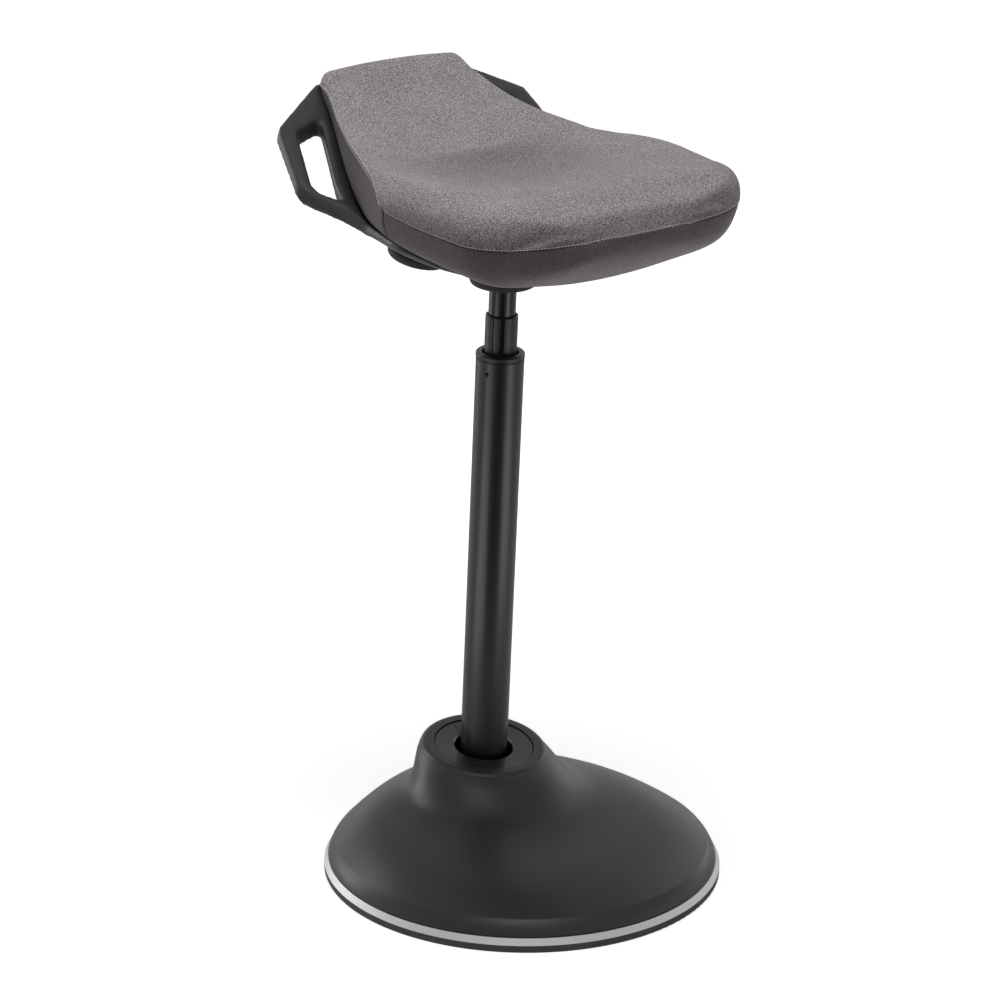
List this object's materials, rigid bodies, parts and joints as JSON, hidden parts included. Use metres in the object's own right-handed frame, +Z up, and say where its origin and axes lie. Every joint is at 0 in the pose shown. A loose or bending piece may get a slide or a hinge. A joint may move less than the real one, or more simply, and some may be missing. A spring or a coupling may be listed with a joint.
{
  "type": "leaning perch stool",
  "caption": "Perching stool with a dished saddle seat, hand loops, a height-adjustable gas column and a swaying round weighted foot",
  "frame": {"origin": "on the floor at the centre of the round foot", "axes": "+Z up, the front of the seat looks along -Y, +X to the right hand of someone facing the front"},
  "size_m": [0.4199, 0.453, 0.8281],
  "materials": {
    "foot_rubber": "matt",
    "foot_metal": "satin",
    "cover_plastic": "fine grain",
    "collar_plastic": "semi-gloss",
    "joint_iron": "as cast",
    "sway_rubber": "matt",
    "column_paint": "satin black",
    "guide_plastic": "satin",
    "fastener_steel": "plain",
    "shell_plastic": "satin black",
    "seat_foam": "open cell foam",
    "seat_fabric": "melange weave"
  },
  "bodies": {
    "base": {"foot_pad": "foot_rubber", "base_plate": "foot_metal", "base_cover": "cover_plastic", "cover_screws": "fastener_steel", "neck_collar": "collar_plastic", "bushing_cup": "joint_iron", "cup_bolts": "fastener_steel", "clamp_ring": "joint_iron", "clamp_screws": "fastener_steel"},
    "sway": {"rubber_bushing": "sway_rubber"},
    "column": {"column_socket": "joint_iron", "column_tube": "column_paint", "column_end_plate": "column_paint", "column_cap": "guide_plastic", "guide_bushing": "guide_plastic", "guide_screws": "fastener_steel", "thrust_race_lower": "fastener_steel"},
    "rod": {"thrust_balls": "fastener_steel", "thrust_race_upper": "fastener_steel", "piston_rod": "fastener_steel", "piston_head": "guide_plastic", "rod_clip": "fastener_steel", "bump_stop": "sway_rubber"},
    "seat": {"gas_cylinder": "column_paint", "cylinder_gland": "guide_plastic", "hub_housing": "shell_plastic", "hub_bolts": "fastener_steel", "lever_pin": "fastener_steel", "seat_pan": "shell_plastic", "seat_shell": "shell_plastic", "seat_foam": "seat_foam", "seat_cover": "seat_fabric"},
    "lever": {"lever_arm": "fastener_steel", "lever_paddle": "shell_plastic"},
    "release": {"release_pin": "fastener_steel"}
  },
  "joints": [
    {"name": "sway_fore_aft", "type": "hinge", "parent": "base", "child": "sway", "pos_m": [0, 0.06899, 0.06498], "axis": [1, 0, 0], "range_deg": [-4, 4], "stiffness_Nm_per_rad": 600},
    {"name": "sway_side", "type": "hinge", "parent": "sway", "child": "column", "pos_m": [0, 0.06899, 0.06498], "axis": [0, 1, 0], "range_deg": [-4, 4], "stiffness_Nm_per_rad": 600},
    {"name": "seat_swivel", "type": "hinge", "parent": "column", "child": "rod", "pos_m": [0, 0.06899, 0.06498], "axis": [0, -0.0471, 0.9989], "continuous": true},
    {"name": "seat_height", "type": "slide", "parent": "rod", "child": "seat", "axis": [0, -0.0471, 0.9989], "range_m": [-0.02, 0.2]},
    {"name": "lever_pivot", "type": "hinge", "parent": "seat", "child": "lever", "pos_m": [-0.01838, 0.05996, 0.6467], "axis": [0.7071, 0.7063, 0.0333], "range_deg": [0, 5], "stiffness_Nm_per_rad": 2},
    {"name": "release_press", "type": "slide", "parent": "seat", "child": "release", "axis": [0, 0.0471, -0.9989], "range_m": [0, 0.0023]}
  ],
  "couplings": [
    {"joint": "release_press", "follows": "lever_pivot", "m_per_rad": 0.026}
  ]
}
